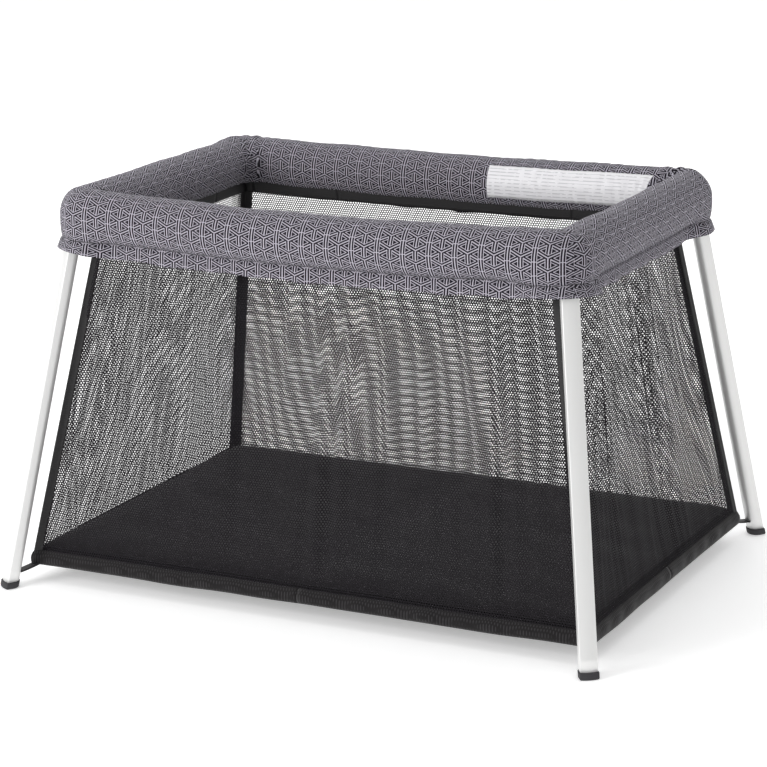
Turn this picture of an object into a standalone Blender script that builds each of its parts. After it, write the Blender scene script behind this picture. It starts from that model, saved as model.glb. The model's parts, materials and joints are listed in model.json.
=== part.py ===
"""Travel play yard: four splayed legs under a folding padded top rail.

Metres, +Z up, the yard standing on its feet at z = 0 with its middle on the Z axis.
X runs along the long sides and the front long side faces -Y. Each of the four top
rails is two half tubes with a hinge in the middle that drops when the yard folds.
The corner brackets stay upright while it folds, and carry the legs on pins.
"""
import math

import bmesh
import bpy
import numpy as np
from mathutils import Matrix, Vector

# Overall layout
RAIL_HEIGHT = 0.620          # height of the rail tubes' centre line
RAIL_LENGTH = 0.865          # between the corners, along X
RAIL_WIDTH = 0.556           # between the corners, along Y
FEET_LENGTH = 1.040          # between the feet, along X
FEET_WIDTH = 0.790           # between the feet, along Y
GAP = 0.0003                 # clearance between pieces that touch
BITE = 0.002                 # how far a lug or a cut runs past the face it meets
PIVOT_MARK_SIZE = 0.03

# Rail tubes and their corner pivots
TUBE_RADIUS = 0.011
TUBE_WALL = 0.0014
TUBE_SIDES = 16
PIVOT_SETBACK = 0.035        # corner pivot's distance from the corner
TUBE_OVERHANG = 0.008        # tube end beyond its corner pivot
PIN_RADIUS = 0.0030
PIN_CLEARANCE = 0.0004
PIN_SIDES = 12

# Mid-rail hinge, measured from its own pin
HINGE_RISE = 0.016           # pin above the tubes' centre line
BLOCK_LENGTH = 0.0357
BLOCK_TOP = -0.0065
BLOCK_BOTTOM = -0.029
BLOCK_HALF_WIDTH = 0.0135
KNUCKLE_RADIUS = 0.0055
WEB_LENGTH = 0.014
WEB_SHOULDER = 0.0112
SPIGOT_ROOT = 0.004
EAR_INNER = 0.0075
EAR_OUTER = 0.0125
TONGUE_HALF_WIDTH = 0.0070
SPIGOT_LENGTH = 0.020
SPIGOT_CLEARANCE = 0.0004

# Release button under the front and rear hinges
BUTTON_OFFSET = -0.018
BUTTON_HALF_SIZE = 0.0060
BUTTON_TOP = -0.0235
BUTTON_BOTTOM = -0.034
POCKET_TOP = -0.0190

# Corner bracket
CORE_HALF = 0.019
CLEVIS_INNER = 0.0115
CLEVIS_OUTER = 0.0155
CLEVIS_REACH = 0.043
BRACKET_HALF_HEIGHT = 0.011
YOKE_TOP_DROP = 0.0095       # yoke's top below the rail's centre line
YOKE_WEB_BOTTOM = 0.605
YOKE_BOTTOM = 0.568
YOKE_WALL = 0.0040
LEG_PIN_OVERHANG = 0.003
HINGE_PIN_OVERHANG = 0.001
RAIL_PIN_OVERHANG = 0.0015
DRILL_HALF_LENGTH = 0.020
YOKE_HALF_DEPTH = 0.012

# Legs and foot caps
LEG_PIVOT_HEIGHT = 0.585
LEG_HALF_WIDTH = 0.016
LEG_HALF_DEPTH = 0.0125
LEG_FACE_CROWN = 0.0018
LEG_FLAT_SIDE = 0.010
LEG_WALL = 0.0015
LEG_TOP_OVERHANG = 0.012
LEG_END_GAP = 0.0055         # leg end above the floor, along the leg
CAP_HEIGHT = 0.012
CAP_WALL = 0.0018

# Padding round the rails
PAD_RADIUS = 0.040
PAD_BORE = 0.026
PAD_SIDES = 20
PAD_MID_GAP = 0.0006
PAD_OPENING_HALF = 0.045     # opening under each corner for the bracket and leg
PAD_OPENING_DROP = 0.009     # its top below the rail's centre line

# Mesh tub and floor mat
TUB_TOP = 0.577
TUB_TOP_LENGTH = 0.828
TUB_TOP_WIDTH = 0.516
FLOOR_LENGTH = 1.010
FLOOR_WIDTH = 0.702
FLOOR_BOTTOM = 0.030
HEM_TOP = 0.052
MAT_TOP = 0.068
MAT_INSET = 0.013
WALL_THICKNESS = 0.0025
WALL_MITRE = 0.004
FLOOR_PIVOT_X = 0.400
FLOOR_PIVOT_HEIGHT = 0.120

# One entry per side: name, turn about Z, half length, distance from the middle,
# and the names of its halves before and after the middle of the side.
SIDES = (
    ("front", 0.0, RAIL_LENGTH / 2, RAIL_WIDTH / 2, "front_left", "front_right"),
    ("right", 90.0, RAIL_WIDTH / 2, RAIL_LENGTH / 2, "right_front", "right_rear"),
    ("rear", 180.0, RAIL_LENGTH / 2, RAIL_WIDTH / 2, "rear_right", "rear_left"),
    ("left", 270.0, RAIL_WIDTH / 2, RAIL_LENGTH / 2, "left_rear", "left_front"),
)

# Corner name and its signs along X and Y
CORNERS = (
    ("front_left", -1, -1),
    ("front_right", 1, -1),
    ("rear_right", 1, 1),
    ("rear_left", -1, 1),
)


def clear_scene():
    """Remove every object of the scene."""
    for item in list(bpy.data.objects):
        bpy.data.objects.remove(item, do_unlink=True)


def make_material(name, colour, roughness, metallic):
    """A plain Principled material."""
    material = bpy.data.materials.new(name)
    material.use_nodes = True
    shader = material.node_tree.nodes["Principled BSDF"]
    shader.inputs["Base Color"].default_value = (*colour, 1.0)
    shader.inputs["Roughness"].default_value = roughness
    shader.inputs["Metallic"].default_value = metallic
    return material


def mesh_from_rings(name, rings, closed_loop=False):
    """Skin rings of points, each with the same count, and close both ends.

    With closed_loop the last ring joins the first, as on a hollow tube."""
    work = bmesh.new()
    rows = [[work.verts.new(point) for point in ring] for ring in rings]
    count = len(rows[0])
    pairs = list(zip(rows, rows[1:]))
    if closed_loop:
        pairs.append((rows[-1], rows[0]))
    for lower, upper in pairs:
        for i in range(count):
            j = (i + 1) % count
            work.faces.new((lower[i], lower[j], upper[j], upper[i]))
    if not closed_loop:
        work.faces.new(rows[0][::-1])
        work.faces.new(rows[-1])
    bmesh.ops.recalc_face_normals(work, faces=work.faces)
    mesh = bpy.data.meshes.new(name)
    work.to_mesh(mesh)
    work.free()
    return mesh


def box_mesh(name, low, high):
    """A box between two corners."""
    rings = [
        [(low[0], low[1], z), (high[0], low[1], z), (high[0], high[1], z), (low[0], high[1], z)]
        for z in (low[2], high[2])
    ]
    return mesh_from_rings(name, rings)


def slab_mesh(name, outline, low, high):
    """An outline of (x, z) points extruded along Y from low to high."""
    rings = [[(x, y, z) for x, z in outline] for y in (low, high)]
    return mesh_from_rings(name, rings)


def rod_mesh(name, start, end, radius, sides):
    """A round rod between two points."""
    start = Vector(start)
    end = Vector(end)
    turn = (end - start).to_track_quat("Z", "Y")
    circle = [
        turn @ Vector((radius * math.cos(a), radius * math.sin(a), 0.0))
        for a in np.linspace(0.0, 2 * math.pi, sides, endpoint=False)
    ]
    return mesh_from_rings(name, [[centre + p for p in circle] for centre in (start, end)])


def combined_mesh(name, base, unions=(), cuts=()):
    """The base mesh joined with the unions, less the cuts."""
    collection = bpy.context.scene.collection
    body = bpy.data.objects.new(name, base)
    collection.objects.link(body)
    helpers = []
    for operation, tools in (("UNION", unions), ("DIFFERENCE", cuts)):
        for tool in tools:
            helper = bpy.data.objects.new("helper", tool)
            collection.objects.link(helper)
            helpers.append(helper)
            modifier = body.modifiers.new(operation, "BOOLEAN")
            modifier.operation = operation
            modifier.object = helper
            modifier.solver = "EXACT"
    graph = bpy.context.evaluated_depsgraph_get()
    result = bpy.data.meshes.new_from_object(body.evaluated_get(graph))
    result.name = name
    for item in [body, *helpers]:
        bpy.data.objects.remove(item, do_unlink=True)
    return result


class Body:
    """A rigid body's empty, standing on the axis that the body turns about."""

    def __init__(self, name, pivot, parent=None):
        self.pivot = Vector(pivot)
        self.empty = bpy.data.objects.new("pivot_" + name, None)
        self.empty.empty_display_size = PIVOT_MARK_SIZE
        bpy.context.scene.collection.objects.link(self.empty)
        if parent is not None:
            self.empty.parent = parent.empty
            self.empty.location = self.pivot - parent.pivot
        else:
            self.empty.location = self.pivot

    def add(self, name, mesh, material, place=(0.0, 0.0, 0.0), turn=0.0, smooth=None):
        """Put a piece on this body, at a world place and turned about Z in degrees."""
        item = bpy.data.objects.new(name, mesh)
        bpy.context.scene.collection.objects.link(item)
        item.parent = self.empty
        item.location = Vector(place) - self.pivot
        item.rotation_euler = (0.0, 0.0, math.radians(turn))
        mesh.materials.clear()
        mesh.materials.append(material)
        if smooth is not None:
            mesh.shade_smooth()
            mesh.set_sharp_from_angle(angle=math.radians(smooth))
        return item


def side_place(turn, distance, height):
    """The world place of a side's middle, at a height."""
    outward = Matrix.Rotation(math.radians(turn), 3, "Z") @ Vector((0.0, -distance, 0.0))
    return Vector((outward.x, outward.y, height))


def to_world(turn, place, point):
    """A point of a side's own frame in the world."""
    return Vector(place) + Matrix.Rotation(math.radians(turn), 3, "Z") @ Vector(point)


def rail_tube_mesh(half_length, sign):
    """Half a rail tube, from its hinge block to its corner, drilled for the pin."""
    start = sign * (BLOCK_LENGTH + GAP)
    end = sign * (half_length - PIVOT_SETBACK + TUBE_OVERHANG)
    angles = np.linspace(0.0, 2 * math.pi, TUBE_SIDES, endpoint=False)
    rings = []
    for x, radius in (
        (start, TUBE_RADIUS),
        (end, TUBE_RADIUS),
        (end, TUBE_RADIUS - TUBE_WALL),
        (start, TUBE_RADIUS - TUBE_WALL),
    ):
        rings.append([(x, radius * math.cos(a), radius * math.sin(a)) for a in angles])
    hole_x = sign * (half_length - PIVOT_SETBACK)
    reach = 2 * TUBE_RADIUS
    drill = rod_mesh("drill", (hole_x, -reach, 0), (hole_x, reach, 0), PIN_RADIUS + PIN_CLEARANCE, PIN_SIDES)
    tube = mesh_from_rings("rail_tube", rings, closed_loop=True)
    return combined_mesh("rail_tube", tube, cuts=[drill])


def rail_pad_mesh(half_length, sign):
    """Half a side's foam tube, mitred at the corner and open below it for the leg."""
    angles = np.linspace(0.0, 2 * math.pi, PAD_SIDES, endpoint=False)
    rings = []
    for at_corner, radius in ((False, PAD_RADIUS), (True, PAD_RADIUS), (True, PAD_BORE), (False, PAD_BORE)):
        ring = []
        for a in angles:
            y = radius * math.cos(a)
            x = half_length - y - GAP if at_corner else PAD_MID_GAP
            ring.append((sign * x, y, radius * math.sin(a)))
        rings.append(ring)
    pad = mesh_from_rings("rail_pad", rings, closed_loop=True)
    corner = sign * half_length
    low = (corner - PAD_OPENING_HALF, -PAD_OPENING_HALF, -2 * PAD_RADIUS)
    high = (corner + PAD_OPENING_HALF, PAD_OPENING_HALF, -PAD_OPENING_DROP)
    return combined_mesh("rail_pad", pad, cuts=[box_mesh("opening", low, high)])


def hinge_half_mesh(kind, with_pocket=False):
    """One half of a mid-rail hinge about its pin: the fork at -X, the tongue at +X."""
    sign = -1 if kind == "fork" else 1
    near = sign * GAP
    far = sign * BLOCK_LENGTH
    block = box_mesh(
        kind,
        (min(near, far), -BLOCK_HALF_WIDTH, BLOCK_BOTTOM),
        (max(near, far), BLOCK_HALF_WIDTH, BLOCK_TOP),
    )
    arc = [
        (-sign * KNUCKLE_RADIUS * math.sin(a), -KNUCKLE_RADIUS * math.cos(a))
        for a in np.linspace(0.0, math.pi, 9)
    ]
    root = BLOCK_TOP - BITE
    outline = [(sign * WEB_LENGTH, root), (near * 2, root), *arc]
    outline += [(sign * WEB_SHOULDER, KNUCKLE_RADIUS), (sign * WEB_LENGTH, KNUCKLE_RADIUS / 2)]
    if kind == "fork":
        spans = ((EAR_INNER, EAR_OUTER), (-EAR_OUTER, -EAR_INNER))
    else:
        spans = ((-TONGUE_HALF_WIDTH, TONGUE_HALF_WIDTH),)
    lugs = [slab_mesh("lug", outline, low, high) for low, high in spans]
    spigot = rod_mesh(
        "spigot",
        (far - sign * SPIGOT_ROOT, 0.0, -HINGE_RISE),
        (far + sign * SPIGOT_LENGTH, 0.0, -HINGE_RISE),
        TUBE_RADIUS - TUBE_WALL - SPIGOT_CLEARANCE,
        TUBE_SIDES,
    )
    reach = 2 * BLOCK_HALF_WIDTH
    cuts = [rod_mesh("drill", (0, -reach, 0), (0, reach, 0), PIN_RADIUS + PIN_CLEARANCE, PIN_SIDES)]
    if with_pocket:
        half = BUTTON_HALF_SIZE + GAP
        low = (BUTTON_OFFSET - half, -half, BLOCK_BOTTOM - BITE)
        high = (BUTTON_OFFSET + half, half, POCKET_TOP)
        cuts.append(box_mesh("pocket", low, high))
    return combined_mesh("hinge_" + kind, block, unions=[*lugs, spigot], cuts=cuts)


def leg_frame(sign_x, sign_y):
    """Directions of a leg: outward in plan, across, down along it, and out of its face."""
    spread = Vector((sign_x * (FEET_LENGTH - RAIL_LENGTH) / 2, sign_y * (FEET_WIDTH - RAIL_WIDTH) / 2, 0))
    outward = spread.normalized()
    across = Vector((-outward.y, outward.x, 0.0))
    down = (spread - Vector((0.0, 0.0, RAIL_HEIGHT))).normalized()
    face = across.cross(down)
    if face.dot(outward) < 0:
        face = -face
    return outward, across, down, face


def leg_pivot(sign_x, sign_y):
    """Where the leg's pin crosses the line from the rail corner to the foot."""
    share = (RAIL_HEIGHT - LEG_PIVOT_HEIGHT) / RAIL_HEIGHT
    x = RAIL_LENGTH / 2 + share * (FEET_LENGTH - RAIL_LENGTH) / 2
    y = RAIL_WIDTH / 2 + share * (FEET_WIDTH - RAIL_WIDTH) / 2
    return Vector((sign_x * x, sign_y * y, LEG_PIVOT_HEIGHT))


def leg_section(grow):
    """Leg outline (across, out): crowned face, short flat sides, half-round back."""
    half_width = LEG_HALF_WIDTH + grow
    front = LEG_HALF_DEPTH + grow
    points = []
    for share in np.linspace(-1.0, 1.0, 5):
        points.append((share * half_width, front - LEG_FACE_CROWN * share * share))
    side_end = LEG_HALF_DEPTH - LEG_FACE_CROWN - LEG_FLAT_SIDE
    for a in np.linspace(0.0, math.pi, 9):
        points.append((half_width * math.cos(a), side_end - (front + side_end) * math.sin(a)))
    return points


def leg_ring(origin, directions, distance, grow):
    """The leg's outline at a distance down from its pivot."""
    _, across, down, face = directions
    return [origin + down * distance + across * a + face * b for a, b in leg_section(grow)]


def leg_mesh(sign_x, sign_y):
    """The hollow leg, drilled for its pin, about the leg pivot."""
    directions = leg_frame(sign_x, sign_y)
    _, across, down, _ = directions
    end = LEG_PIVOT_HEIGHT / -down.z - LEG_END_GAP
    zero = Vector((0.0, 0.0, 0.0))
    rings = [
        leg_ring(zero, directions, -LEG_TOP_OVERHANG, 0.0),
        leg_ring(zero, directions, end, 0.0),
        leg_ring(zero, directions, end, -LEG_WALL),
        leg_ring(zero, directions, -LEG_TOP_OVERHANG, -LEG_WALL),
    ]
    reach = across * (2 * LEG_HALF_WIDTH)
    drill = rod_mesh("drill", -reach, reach, PIN_RADIUS + PIN_CLEARANCE, PIN_SIDES)
    leg = mesh_from_rings("leg", rings, closed_loop=True)
    return combined_mesh("leg", leg, cuts=[drill])


def foot_cap_mesh(sign_x, sign_y):
    """The rubber cup on the leg's end, cut level with the floor, about the leg pivot."""
    directions = leg_frame(sign_x, sign_y)
    down = directions[2]
    floor_distance = LEG_PIVOT_HEIGHT / -down.z
    zero = Vector((0.0, 0.0, 0.0))
    top = leg_ring(zero, directions, floor_distance - CAP_HEIGHT, CAP_WALL)
    sole = [p + down * ((p.z + LEG_PIVOT_HEIGHT) / -down.z) for p in top]
    lip = leg_ring(zero, directions, floor_distance - CAP_HEIGHT, GAP)
    seat = leg_ring(zero, directions, floor_distance - LEG_END_GAP + GAP, GAP)
    return mesh_from_rings("foot_cap", [sole, top, lip, seat])


def bracket_mesh(sign_x, sign_y):
    """The corner bracket: a core with two clevises, over the yoke that holds the leg."""
    core = CORE_HALF
    near = CLEVIS_INNER
    wide = CLEVIS_OUTER
    reach = CLEVIS_REACH
    plan = [
        (core, core), (-core, core), (-core, wide), (-reach, wide), (-reach, near), (-core, near),
        (-core, -near), (-reach, -near), (-reach, -wide), (-wide, -wide), (-wide, -reach),
        (-near, -reach), (-near, -core), (near, -core), (near, -reach), (wide, -reach),
        (wide, -core), (core, -core),
    ]
    half = BRACKET_HALF_HEIGHT
    rings = [[(sign_x * x, sign_y * y, z) for x, y in plan] for z in (-half, half)]
    head = mesh_from_rings("head", rings)

    directions = leg_frame(sign_x, sign_y)
    outward, across = directions[0], directions[1]
    centre = leg_pivot(sign_x, sign_y)
    centre -= Vector((sign_x * RAIL_LENGTH / 2, sign_y * RAIL_WIDTH / 2, LEG_PIVOT_HEIGHT))
    inner = LEG_HALF_WIDTH + GAP * 2
    outer = inner + YOKE_WALL
    top = -YOKE_TOP_DROP
    web = YOKE_WEB_BOTTOM - RAIL_HEIGHT
    bottom = YOKE_BOTTOM - RAIL_HEIGHT
    arch = [
        (-outer, bottom), (-inner, bottom), (-inner, web), (inner, web),
        (inner, bottom), (outer, bottom), (outer, top), (-outer, top),
    ]
    rings = []
    for depth in (-YOKE_HALF_DEPTH, YOKE_HALF_DEPTH):
        ring = [centre + outward * depth + across * a + Vector((0, 0, z)) for a, z in arch]
        rings.append(ring)
    yoke = mesh_from_rings("yoke", rings)

    hole = PIN_RADIUS + PIN_CLEARANCE
    long = 2 * CLEVIS_REACH
    x = -sign_x * PIVOT_SETBACK
    y = -sign_y * PIVOT_SETBACK
    span = DRILL_HALF_LENGTH
    middle = centre + Vector((0.0, 0.0, LEG_PIVOT_HEIGHT - RAIL_HEIGHT))
    cuts = [
        rod_mesh("drill", (x, -span, 0), (x, span, 0), hole, PIN_SIDES),
        rod_mesh("drill", (-span, y, 0), (span, y, 0), hole, PIN_SIDES),
        rod_mesh("drill", middle - across * long, middle + across * long, hole, PIN_SIDES),
    ]
    return combined_mesh("corner_bracket", head, unions=[yoke], cuts=cuts)


def mesh_wall_mesh(half_length, distance, top_half, top_distance, is_long):
    """A leaning wall of the tub: a thin plate between its top line and the hem."""
    share = (HEM_TOP + GAP * 2 - FLOOR_BOTTOM) / (TUB_TOP - FLOOR_BOTTOM)
    low_half = half_length + (top_half - half_length) * share
    low_distance = distance + (top_distance - distance) * share
    trim = WALL_MITRE if is_long else GAP
    rings = []
    for half, out, z in ((low_half, low_distance, HEM_TOP + GAP * 2), (top_half, top_distance, TUB_TOP)):
        half -= trim
        inner = out - WALL_THICKNESS
        rings.append([(-half, -out, z), (half, -out, z), (half, -inner, z), (-half, -inner, z)])
    return mesh_from_rings("mesh_wall", rings)


def floor_mat_mesh(sign):
    """Half of the floor: the hemmed cloth base with the padded mat standing on it."""
    rings = []
    for inset, z in ((0.0, FLOOR_BOTTOM), (0.0, HEM_TOP), (MAT_INSET, HEM_TOP), (MAT_INSET, MAT_TOP)):
        x = sign * (FLOOR_LENGTH / 2 - inset)
        y = FLOOR_WIDTH / 2 - inset
        middle = sign * PAD_MID_GAP
        rings.append([(middle, -y, z), (x, -y, z), (x, y, z), (middle, y, z)])
    return mesh_from_rings("floor_mat", rings)


def build():
    """Make every piece and put it on the body that carries it."""
    aluminium = make_material("brushed_aluminium", (0.78, 0.78, 0.76), 0.35, 1.0)
    steel = make_material("steel_pin", (0.55, 0.55, 0.56), 0.3, 1.0)
    nylon = make_material("black_nylon", (0.03, 0.03, 0.035), 0.5, 0.0)
    rubber = make_material("grey_rubber", (0.08, 0.08, 0.085), 0.75, 0.0)
    cover = make_material("patterned_cloth", (0.25, 0.22, 0.27), 0.9, 0.0)
    netting = make_material("black_netting", (0.02, 0.02, 0.022), 0.8, 0.0)
    mat_cloth = make_material("black_mat_cloth", (0.012, 0.012, 0.013), 0.95, 0.0)
    button_plastic = make_material("grey_button", (0.35, 0.35, 0.37), 0.45, 0.0)

    corner_at = {
        name: Vector((sx * RAIL_LENGTH / 2, sy * RAIL_WIDTH / 2, RAIL_HEIGHT)) for name, sx, sy in CORNERS
    }
    side_by_name = {entry[0]: entry for entry in SIDES}

    def end_pivot(side, sign):
        """World place of a side's corner pivot, before or after its middle."""
        _, turn, half_length, distance, _, _ = side_by_name[side]
        place = side_place(turn, distance, RAIL_HEIGHT)
        return to_world(turn, place, (sign * (half_length - PIVOT_SETBACK), 0.0, 0.0))

    def mid_pivot(side):
        """World place of a side's middle hinge pin."""
        _, turn, _, distance, _, _ = side_by_name[side]
        return side_place(turn, distance, RAIL_HEIGHT + HINGE_RISE)

    bodies = {}
    bodies["corner_front_left"] = Body("corner_front_left", corner_at["front_left"])
    chain = (
        ("rail_front_left", end_pivot("front", -1), "corner_front_left"),
        ("rail_front_right", mid_pivot("front"), "rail_front_left"),
        ("corner_front_right", end_pivot("front", 1), "rail_front_right"),
        ("rail_right_front", end_pivot("right", -1), "corner_front_right"),
        ("rail_right_rear", mid_pivot("right"), "rail_right_front"),
        ("corner_rear_right", end_pivot("right", 1), "rail_right_rear"),
        ("rail_rear_right", end_pivot("rear", -1), "corner_rear_right"),
        ("rail_rear_left", mid_pivot("rear"), "rail_rear_right"),
        ("rail_left_front", end_pivot("left", 1), "corner_front_left"),
        ("rail_left_rear", mid_pivot("left"), "rail_left_front"),
        ("corner_rear_left", end_pivot("left", -1), "rail_left_rear"),
        ("floor_left", (-FLOOR_PIVOT_X, 0.0, FLOOR_PIVOT_HEIGHT), "corner_front_left"),
        ("floor_right", (FLOOR_PIVOT_X, 0.0, FLOOR_PIVOT_HEIGHT), "corner_front_right"),
    )
    for name, pivot, parent in chain:
        bodies[name] = Body(name, pivot, bodies[parent])
    for name, sx, sy in CORNERS:
        bodies["leg_" + name] = Body("leg_" + name, leg_pivot(sx, sy), bodies["corner_" + name])

    # Corners, legs and feet
    for name, sx, sy in CORNERS:
        corner = bodies["corner_" + name]
        corner.add("corner_bracket_" + name, bracket_mesh(sx, sy), nylon, corner_at[name])
        across = leg_frame(sx, sy)[1]
        reach = across * (LEG_HALF_WIDTH + YOKE_WALL + LEG_PIN_OVERHANG)
        pin = rod_mesh("leg_pin", -reach, reach, PIN_RADIUS, PIN_SIDES)
        pivot = leg_pivot(sx, sy)
        corner.add("leg_pin_" + name, pin, steel, pivot, smooth=40)
        leg = bodies["leg_" + name]
        leg.add("leg_" + name, leg_mesh(sx, sy), aluminium, pivot, smooth=30)
        leg.add("foot_cap_" + name, foot_cap_mesh(sx, sy), rubber, pivot, smooth=30)

    # Rails, hinges and padding
    tongue = hinge_half_mesh("tongue")
    plain_fork = hinge_half_mesh("fork")
    button_fork = hinge_half_mesh("fork", with_pocket=True)
    pin_half = BLOCK_HALF_WIDTH + HINGE_PIN_OVERHANG
    hinge_pin = rod_mesh("hinge_pin", (0, -pin_half, 0), (0, pin_half, 0), PIN_RADIUS, PIN_SIDES)
    rail_half = CLEVIS_OUTER + RAIL_PIN_OVERHANG
    rail_pin = rod_mesh("rail_pin", (0, -rail_half, 0), (0, rail_half, 0), PIN_RADIUS, PIN_SIDES)
    half_size = BUTTON_HALF_SIZE
    button = box_mesh(
        "button",
        (BUTTON_OFFSET - half_size, -half_size, BUTTON_BOTTOM),
        (BUTTON_OFFSET + half_size, half_size, BUTTON_TOP),
    )
    tubes = {}
    pads = {}
    for half_length in (RAIL_LENGTH / 2, RAIL_WIDTH / 2):
        for sign in (-1, 1):
            tubes[half_length, sign] = rail_tube_mesh(half_length, sign)
            pads[half_length, sign] = rail_pad_mesh(half_length, sign)
    corner_of_half = {
        "front_left": "front_left", "front_right": "front_right",
        "right_front": "front_right", "right_rear": "rear_right",
        "rear_right": "rear_right", "rear_left": "rear_left",
        "left_rear": "rear_left", "left_front": "front_left",
    }
    for side, turn, half_length, distance, before, after in SIDES:
        place = side_place(turn, distance, RAIL_HEIGHT)
        hinge_place = mid_pivot(side)
        for half, sign in ((before, -1), (after, 1)):
            rail = bodies["rail_" + half]
            rail.add("rail_tube_" + half, tubes[half_length, sign], aluminium, place, turn, smooth=40)
            rail.add("rail_pad_" + half, pads[half_length, sign], cover, place, turn, smooth=40)
            corner = bodies["corner_" + corner_of_half[half]]
            corner.add("rail_pin_" + half, rail_pin, steel, end_pivot(side, sign), turn, smooth=40)
        has_button = side in ("front", "rear")
        fork_body = bodies["rail_" + before]
        fork = button_fork if has_button else plain_fork
        fork_body.add("hinge_fork_" + side, fork, nylon, hinge_place, turn)
        fork_body.add("hinge_pin_" + side, hinge_pin, steel, hinge_place, turn, smooth=40)
        bodies["rail_" + after].add("hinge_tongue_" + side, tongue, nylon, hinge_place, turn)
        if has_button:
            offset = to_world(turn, hinge_place, (BUTTON_OFFSET, 0.0, BUTTON_BOTTOM))
            slide = Body("button_" + side, offset, fork_body)
            slide.add("release_button_" + side, button, button_plastic, hinge_place, turn)

    # Mesh walls and floor
    wall_carrier = {
        "front": "leg_front_left", "right": "leg_front_right",
        "rear": "leg_rear_right", "left": "leg_rear_left",
    }
    for side, turn, _, _, _, _ in SIDES:
        is_long = side in ("front", "rear")
        sizes = [
            (FLOOR_LENGTH / 2, FLOOR_WIDTH / 2), (TUB_TOP_LENGTH / 2, TUB_TOP_WIDTH / 2),
        ]
        if not is_long:
            sizes = [(b, a) for a, b in sizes]
        (low_half, low_out), (top_half, top_out) = sizes
        wall = mesh_wall_mesh(low_half, low_out, top_half, top_out, is_long)
        bodies[wall_carrier[side]].add("mesh_wall_" + side, wall, netting, turn=turn)
    for side, sign in (("left", -1), ("right", 1)):
        bodies["floor_" + side].add("floor_mat_" + side, floor_mat_mesh(sign), mat_cloth)


clear_scene()
build()
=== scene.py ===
"""Looks of a travel play yard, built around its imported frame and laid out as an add-on.

Metres, +Z up. X runs along the long sides and the front long side faces -Y.
Every side of the yard is described once, in a side frame whose x runs along the
rail and whose y points inwards, and is turned round the Z axis into its place.
"""
import json
import math

import bmesh
import bpy
import numpy as np
from mathutils import Euler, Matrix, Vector


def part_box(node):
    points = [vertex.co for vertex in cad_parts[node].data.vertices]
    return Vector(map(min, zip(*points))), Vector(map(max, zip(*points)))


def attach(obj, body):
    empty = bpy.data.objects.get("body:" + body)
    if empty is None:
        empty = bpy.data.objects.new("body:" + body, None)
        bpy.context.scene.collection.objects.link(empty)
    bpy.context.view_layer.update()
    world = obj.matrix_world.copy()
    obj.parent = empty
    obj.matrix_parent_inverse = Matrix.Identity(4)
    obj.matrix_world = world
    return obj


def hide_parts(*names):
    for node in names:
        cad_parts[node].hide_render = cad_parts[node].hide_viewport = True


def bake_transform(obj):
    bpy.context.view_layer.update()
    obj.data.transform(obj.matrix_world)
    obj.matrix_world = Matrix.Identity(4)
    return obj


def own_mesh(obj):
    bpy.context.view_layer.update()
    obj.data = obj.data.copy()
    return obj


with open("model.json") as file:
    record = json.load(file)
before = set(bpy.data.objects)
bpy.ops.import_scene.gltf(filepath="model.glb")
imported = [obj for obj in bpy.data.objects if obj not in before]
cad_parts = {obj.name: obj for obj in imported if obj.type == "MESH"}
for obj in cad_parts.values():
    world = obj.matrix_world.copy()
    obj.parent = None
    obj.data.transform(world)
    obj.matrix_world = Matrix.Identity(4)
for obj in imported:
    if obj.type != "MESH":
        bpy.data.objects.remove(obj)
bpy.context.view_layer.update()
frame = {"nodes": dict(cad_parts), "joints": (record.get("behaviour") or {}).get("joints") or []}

bl_info = {
    "name": "Travel Play Yard",
    "version": (1, 0, 0),
    "blender": (4, 5, 0),
    "location": "View3D > Sidebar > Play Yard",
    "description": "Padded rail cover, netting, mat, legs and stage of a folding play yard",
    "category": "Object",
}

JOINTS = {joint["name"]: joint for joint in frame["joints"]}

# The four sides: turn in degrees, half rails and corners from the side's -x end to its +x end.
SIDES = (
    ("front", 0, ("front_left", "front_right"), ("front_left", "front_right")),
    ("right", 90, ("right_front", "right_rear"), ("front_right", "rear_right")),
    ("rear", 180, ("rear_right", "rear_left"), ("rear_right", "rear_left")),
    ("left", 270, ("left_rear", "left_front"), ("rear_left", "front_left")),
)
CORNER_SIGNS = {
    "front_left": (-1, -1),
    "front_right": (1, -1),
    "rear_right": (1, 1),
    "rear_left": (-1, 1),
}
OPEN_PIVOT = ("rear_left", "rear_left")

RAIL_HALF_LENGTH = abs(JOINTS["right_rail_middle"]["pos_m"][0])
RAIL_HALF_WIDTH = abs(JOINTS["front_rail_middle"]["pos_m"][1])
RAIL_HEIGHT = JOINTS["fold"]["pos_m"][2]
PIVOT_SETBACK = RAIL_HALF_LENGTH - abs(JOINTS["fold"]["pos_m"][0])
LEG_PIVOT_HEIGHT = JOINTS["leg_swing_front_left"]["pos_m"][2]
FRONT_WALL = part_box("mesh_wall_front")
LEFT_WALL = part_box("mesh_wall_left")
LEFT_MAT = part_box("floor_mat_left")
LEG_SPLAY = 0.23143
COVER_CUT = 0.52             # where a rail cover's end meets its middle, as a share of the half rail
CORNER_BLEND = (0.012, 0.095)   # from the corner, a span stored with each binding end; no bend is made from it
MIDDLE_BLEND = 0.055         # either side of a middle hinge, a span stored with each middle binding; no bend is made from it
HEM_HEIGHTS = (0.0535, 0.0300)
NETTING_HEIGHTS = (0.580, 0.040)
NETTING_DROP = 0.547
BINDING_HEIGHTS = (0.590, 0.5655)
LABEL_RUN = (-0.384, -0.072)
LABEL_TURN = (124, 212)
STICKER_RUN = (0.322, 0.482)
MAT_UNDERSIDE = 0.0495
FINISHES = {}


def linear(hex_colour):
    """Linear RGBA of an sRGB hex colour, by the sRGB curve."""
    parts = [int(hex_colour[i:i + 2], 16) / 255 for i in (1, 3, 5)]
    return [p / 12.92 if p <= 0.04045 else ((p + 0.055) / 1.055) ** 2.4 for p in parts] + [1.0]


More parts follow.
